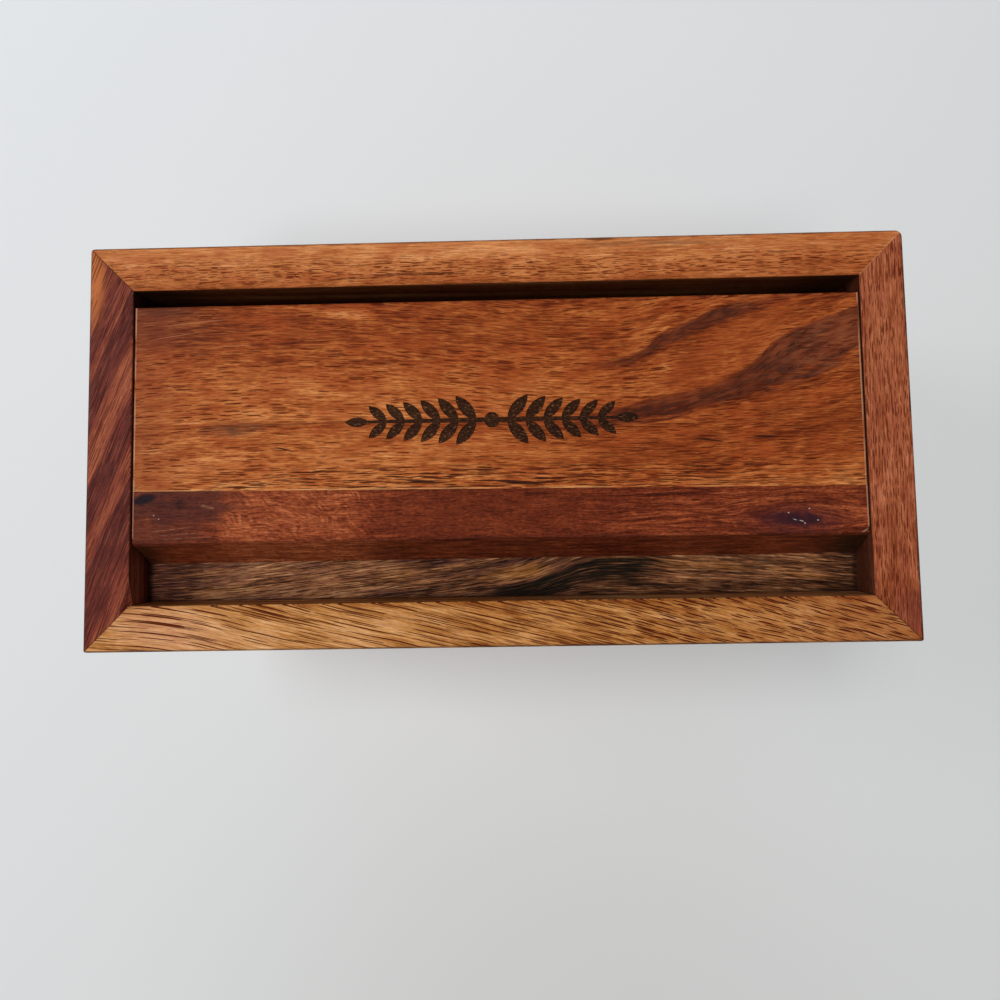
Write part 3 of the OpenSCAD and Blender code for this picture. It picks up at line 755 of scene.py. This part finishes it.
def right_wood():
    """The right rim: red-brown with fine pores along it."""
    b = Board("right_top_wood", "y", lean=0.02, seed=8.3)
    b.wander(0.4)
    base = b.y.curve((-44, 0.54), (-34, 0.47), (-20, 0.4), (44, 0.38))
    base = b.below(base, (64, 40), -0.05)
    tone, hairs = tones(b, base, 0.5, 0.45, 0.26, (6, 2.4), fine=0.8, drawn=1.2)
    colour = tone.ramp((0.08, "#c67a59"), (0.28, "#ac6341"), (0.46, "#924b2c"), (0.66, "#71331c"),
                       (0.95, "#38140a"))
    blush = b.noise((7, 2.4, 4), 9).step(0.46, 0.66)
    colour = colour.mixed(blush * 0.35, "#8f4330")
    dusk = b.patch((88, -38), (4, 6)) * b.face
    colour = colour.mixed(dusk * 0.3, "#5a2a2c")
    pores = b.pits(6.0, 0.62, 4, share=1.2, lean=0.02, thin=1.8)
    pores = pores.most(b.pits(3.0, 0.42, 5, share=1.15, thin=1.5)) * (b.crowds(7, 0.3, 0.6) * 0.5 + 0.5)
    colour = colour.mixed(pores * 0.9, "#5c1a02")
    # Painted shade: dark spots along the rim's outer arris.
    colour = colour.mixed(b.spots((89.7, 30, 0.5, 5, 0), (89.7, -27, 0.5, 7, 0)) * 0.5, "#2a1410")
    colour = colour.mixed(b.mitre() * 0.6 * b.y.step(30, 20), "#2c140a")
    # Painted shade on the inner face below the rim, at the end of the groove.
    inner = b.x.step(INNER_W + 0.4, INNER_W + 0.2) * (1 - b.face)
    colour = colour.mixed(inner * 0.65, "#24140e")
    return b.finish(b.shade_outer_arris(colour), pores, hairs)


def pin_steel():
    """The pins' steel: bright, finely turned and a little smudged."""
    b = Board("pin_steel", seed=4.4)
    turning = b.noise((0.03, 3.0, 3.0), 1, 2.0, 0.6, b.y)
    smudge = b.noise((2.5, 1.5, 1.5), 2, 2.0, 0.5, b.y)
    b.shader.inputs["Metallic"].default_value = 1.0
    return b.surface(smudge.ramp((0.3, "#aeb1b5"), (0.7, "#c6c8ca")), turning * 0.3 + 0.18, turning * 0.02)


def show(piece, material):
    """Gives a CAD piece its material."""
    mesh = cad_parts[piece].data
    mesh.materials.clear()
    mesh.materials.append(material)


# Piece, its material, colours, direction of the grain, lean, pith line, its dip, and seed.
PLAIN_BOARDS = (
    ("front_wall_middle_board", "front_middle_wood", RED, "x", 0.03, (40, -60), 0.06, 5.2),
    ("front_wall_bottom_board", "front_bottom_wood", GOLDEN, "x", -0.02, (50, -115), -0.05, 6.7),
    ("right_wall_middle_board", "right_middle_wood", GOLDEN, "y", 0.03, (-40, -66), -0.05, 9.9),
    ("right_wall_bottom_board", "right_bottom_wood", DARK, "y", -0.02, (40, -112), 0.05, 11.4),
    ("back_wall_middle_board", "back_middle_wood", RED, "x", -0.03, (50, -70), -0.05, 15.1),
    ("back_wall_bottom_board", "back_bottom_wood", GOLDEN, "x", 0.02, (45, -108), 0.06, 17.8),
    ("left_wall_middle_board", "left_middle_wood", GOLDEN, "y", -0.03, (40, -70), 0.05, 21.2),
    ("left_wall_bottom_board", "left_bottom_wood", RED, "y", 0.02, (-45, -112), -0.05, 23.4),
    ("bottom_panel_front_board", "bottom_front_wood", PALE, "x", 0.02, (-30, -100), 0.03, 25.7),
    ("bottom_panel_back_board", "bottom_back_wood", GOLDEN, "x", -0.02, (40, -100), 0.04, 27.1),
)
for piece, *growth in PLAIN_BOARDS:
    show(piece, plain_wood(*growth))

show("front_wall_top_board", front_wood())
show("right_wall_top_board", right_wood())
show("back_wall_top_board", back_wood())
show("left_wall_top_board", left_wood())
show("groove_ledge", floor_wood())
show("lid_main_board", lid_wood())
show("lid_front_strip", strip_wood())
steel = pin_steel()
show("lid_pin_left", steel)
show("lid_pin_right", steel)


def table_paint():
    """Pale grey, lighter to the back left by a painted light falloff, with a painted shadow that makes a
    dimmer place before the box. Its lengths are in metres."""
    paint = bpy.data.materials.new("floor_paint")
    paint.use_nodes = True
    tree = paint.node_tree
    shader = tree.nodes["Principled BSDF"]
    shader.inputs["Roughness"].default_value = 0.85
    place = add_node(tree, "ShaderNodeTexCoord", {}, {}, "Object")
    split = add_node(tree, "ShaderNodeSeparateXYZ", {}, {0: place}).socket.node
    east, north = (Wire(tree, split.outputs[axis]) for axis in ("X", "Y"))
    # Painted light falloff: lighter to the back left.
    shade = (north - east * 0.6).part(-0.3, 0.35) * 0.7 + 0.3
    # Painted shadow: a dimmer place before the box.
    away_east = east - 0.01
    away_north = north + 0.2
    away = (away_east * away_east + away_north * away_north) ** 0.5
    shade = shade - away.step(0.17, 0.02) * 0.3
    colour = shade.ramp((0.0, "#d0d1d0"), (0.3, "#dadcdb"), (1.0, "#eef2f5"))
    tree.links.new(colour.socket, shader.inputs["Base Color"])
    return paint


bpy.ops.mesh.primitive_plane_add(size=6.0)
floor = bpy.context.object
floor.name = "floor"
floor.data.materials.append(table_paint())


def lamp(name, place, size, watts, glossy):
    """A soft lamp that faces the rim. Size is its width and its depth, and where it isn't glossy
    no surface mirrors it."""
    light = bpy.data.lights.new(name, "AREA")
    light.shape = "RECTANGLE"
    light.size, light.size_y = size
    light.energy = watts
    lit = bpy.data.objects.new(name, light)
    bpy.context.scene.collection.objects.link(lit)
    lit.location = place
    aim = Vector((0.0, 0.0, RIM_Z * MM)) - lit.location
    lit.rotation_euler = aim.to_track_quat("-Z", "Y").to_euler()
    lit.visible_glossy = glossy


lamp("overhead_lamp", (-0.3, -0.08, 2.35), (1.5, 0.55), 42.0, False)
lamp("window_lamp", (-1.3, 0.35, 1.4), (0.6, 0.6), 4.5, True)


def room():
    """The room is dim straight up, where the camera would be mirrored, and lighter at the sides.
    The camera itself sees an even pale grey."""
    seen_strength = 0.72
    world = bpy.data.worlds.new("room")
    world.use_nodes = True
    tree = world.node_tree
    toward = add_node(tree, "ShaderNodeTexCoord", {}, {}, "Generated")
    height = add_node(tree, "ShaderNodeSeparateXYZ", {}, {0: toward}, "Z")
    seen = add_node(tree, "ShaderNodeLightPath", {}, {}, "Is Camera Ray")
    glow = height.curve((-1.0, 0.3), (0.1, 0.3), (0.6, 0.14), (0.9, 0.04), (1.0, 0.03))
    background = tree.nodes["Background"]
    tree.links.new((glow + (seen_strength - glow) * seen).socket, background.inputs["Strength"])
    background.inputs["Color"].default_value = (1.0, 1.0, 1.0, 1.0)
    return world


bpy.context.scene.world = room()

camera_data = bpy.data.cameras.new("camera")
camera_data.lens = 36.0
camera_data.sensor_width = 36.0
camera_data.shift_y = -0.0794
camera_data.clip_start = 0.01
camera = bpy.data.objects.new("camera", camera_data)
camera.location = (CAMERA_X * MM, CAMERA_Y * MM, (RIM_Z + CAMERA_RISE) * MM)
camera.rotation_euler = [radians(turn) for turn in CAMERA_TURNS]
bpy.context.scene.collection.objects.link(camera)
bpy.context.scene.camera = camera
bpy.context.scene.view_settings.view_transform = "Standard"
